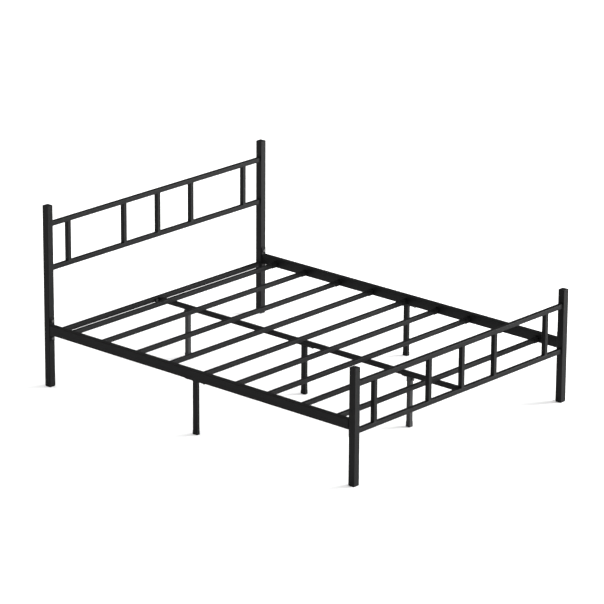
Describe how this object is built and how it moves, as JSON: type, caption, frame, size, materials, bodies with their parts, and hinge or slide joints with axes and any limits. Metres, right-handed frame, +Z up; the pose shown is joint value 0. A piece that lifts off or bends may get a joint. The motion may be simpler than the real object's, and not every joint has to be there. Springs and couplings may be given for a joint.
{
  "type": "metal bed frame",
  "caption": "Black steel double bed frame with a high headboard, a lower footboard, square-tube slats, a centre beam and support legs.",
  "frame": {"origin": "on the floor under the middle of the bed", "axes": "+X across the bed, +Y from the foot end to the head end, +Z up"},
  "size_m": [1.66, 2.136, 0.986],
  "materials": {
    "frame_paint": "satin black powder coat",
    "leg_paint": "satin charcoal powder coat",
    "black_plastic": "matt black moulded plastic",
    "charcoal_plastic": "matt charcoal moulded plastic",
    "black_bolts": "black zinc plated",
    "plated_steel": "zinc plated"
  },
  "bodies": {
    "bed_frame": {"headboard_post_left": "frame_paint", "headboard_post_right": "frame_paint", "headboard_top_bar": "frame_paint", "headboard_bottom_bar": "frame_paint", "headboard_spindle_1": "frame_paint", "headboard_spindle_2": "frame_paint", "headboard_spindle_3": "frame_paint", "headboard_spindle_4": "frame_paint", "headboard_spindle_5": "frame_paint", "footboard_post_left": "frame_paint", "footboard_post_right": "frame_paint", "footboard_top_bar": "frame_paint", "footboard_bottom_bar": "frame_paint", "footboard_spindle_1": "frame_paint", "footboard_spindle_2": "frame_paint", "footboard_spindle_3": "frame_paint", "footboard_spindle_4": "frame_paint", "footboard_spindle_5": "frame_paint", "headboard_cross_rail": "frame_paint", "side_rail_left": "frame_paint", "side_rail_right": "frame_paint", "rail_plate_head_left": "frame_paint", "rail_plate_head_right": "frame_paint", "rail_plate_foot_left": "frame_paint", "rail_plate_foot_right": "frame_paint", "slat_1": "frame_paint", "slat_2": "frame_paint", "slat_3": "frame_paint", "slat_4": "frame_paint", "slat_5": "frame_paint", "slat_6": "frame_paint", "slat_7": "frame_paint", "slat_8": "frame_paint", "slat_9": "frame_paint", "slat_holders_left": "black_plastic", "slat_holders_right": "black_plastic", "centre_beam": "frame_paint", "beam_plate_head": "frame_paint", "beam_plate_foot": "frame_paint", "leg_socket_head": "leg_paint", "leg_socket_foot": "leg_paint", "centre_leg_head": "leg_paint", "centre_leg_foot": "leg_paint", "centre_leg_middle": "frame_paint", "side_leg_left": "frame_paint", "side_leg_right": "frame_paint", "leg_plates": "frame_paint", "leg_caps": "black_plastic", "post_caps": "black_plastic", "post_feet": "black_plastic", "leg_clamp_screws": "black_bolts", "frame_bolts": "black_bolts", "leg_thread_inserts": "plated_steel", "threaded_inserts": "plated_steel"},
    "leveller_head": {"leveller_cup_head": "charcoal_plastic", "leveller_stud_head": "plated_steel"},
    "leveller_foot": {"leveller_cup_foot": "charcoal_plastic", "leveller_stud_foot": "plated_steel"}
  },
  "joints": [
    {"name": "leveller_head_screw", "type": "slide", "parent": "bed_frame", "child": "leveller_head", "axis": [0, 0, 1], "range_m": [-0.022, 0]},
    {"name": "leveller_foot_screw", "type": "slide", "parent": "bed_frame", "child": "leveller_foot", "axis": [0, 0, 1], "range_m": [-0.022, 0]}
  ]
}
